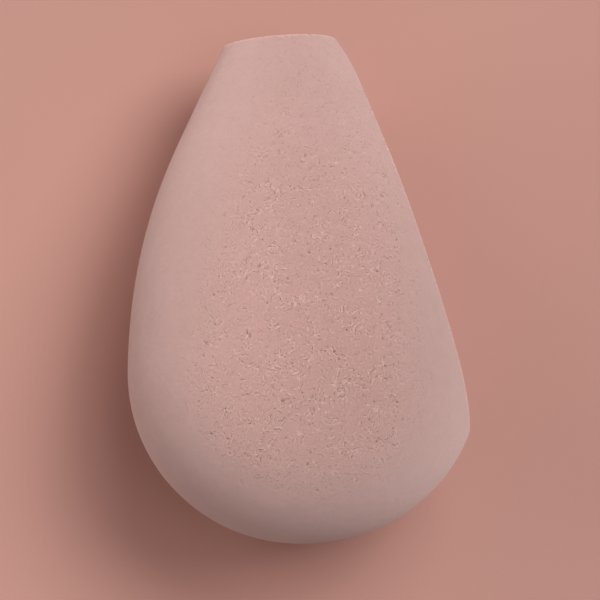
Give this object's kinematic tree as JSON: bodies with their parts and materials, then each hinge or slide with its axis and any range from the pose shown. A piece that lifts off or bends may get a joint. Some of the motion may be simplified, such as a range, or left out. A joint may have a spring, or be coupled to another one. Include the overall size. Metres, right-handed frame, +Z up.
{
  "type": "makeup sponge",
  "caption": "Teardrop foam sponge for blending make-up, with a flat tip and a flat slant-cut flank, lying on its belly.",
  "frame": {"origin": "on the table, on the flat where the foam rests, straight below the centre of the belly", "axes": "+Y along the sponge towards its flat tip, +X across it towards the slant-cut face, +Z up from the table"},
  "size_m": [0.0401, 0.0605, 0.0415],
  "materials": {
    "foam": "matte, finely porous open-cell foam"
  },
  "bodies": {
    "root": {"foam_body": "foam"}
  },
  "joints": []
}
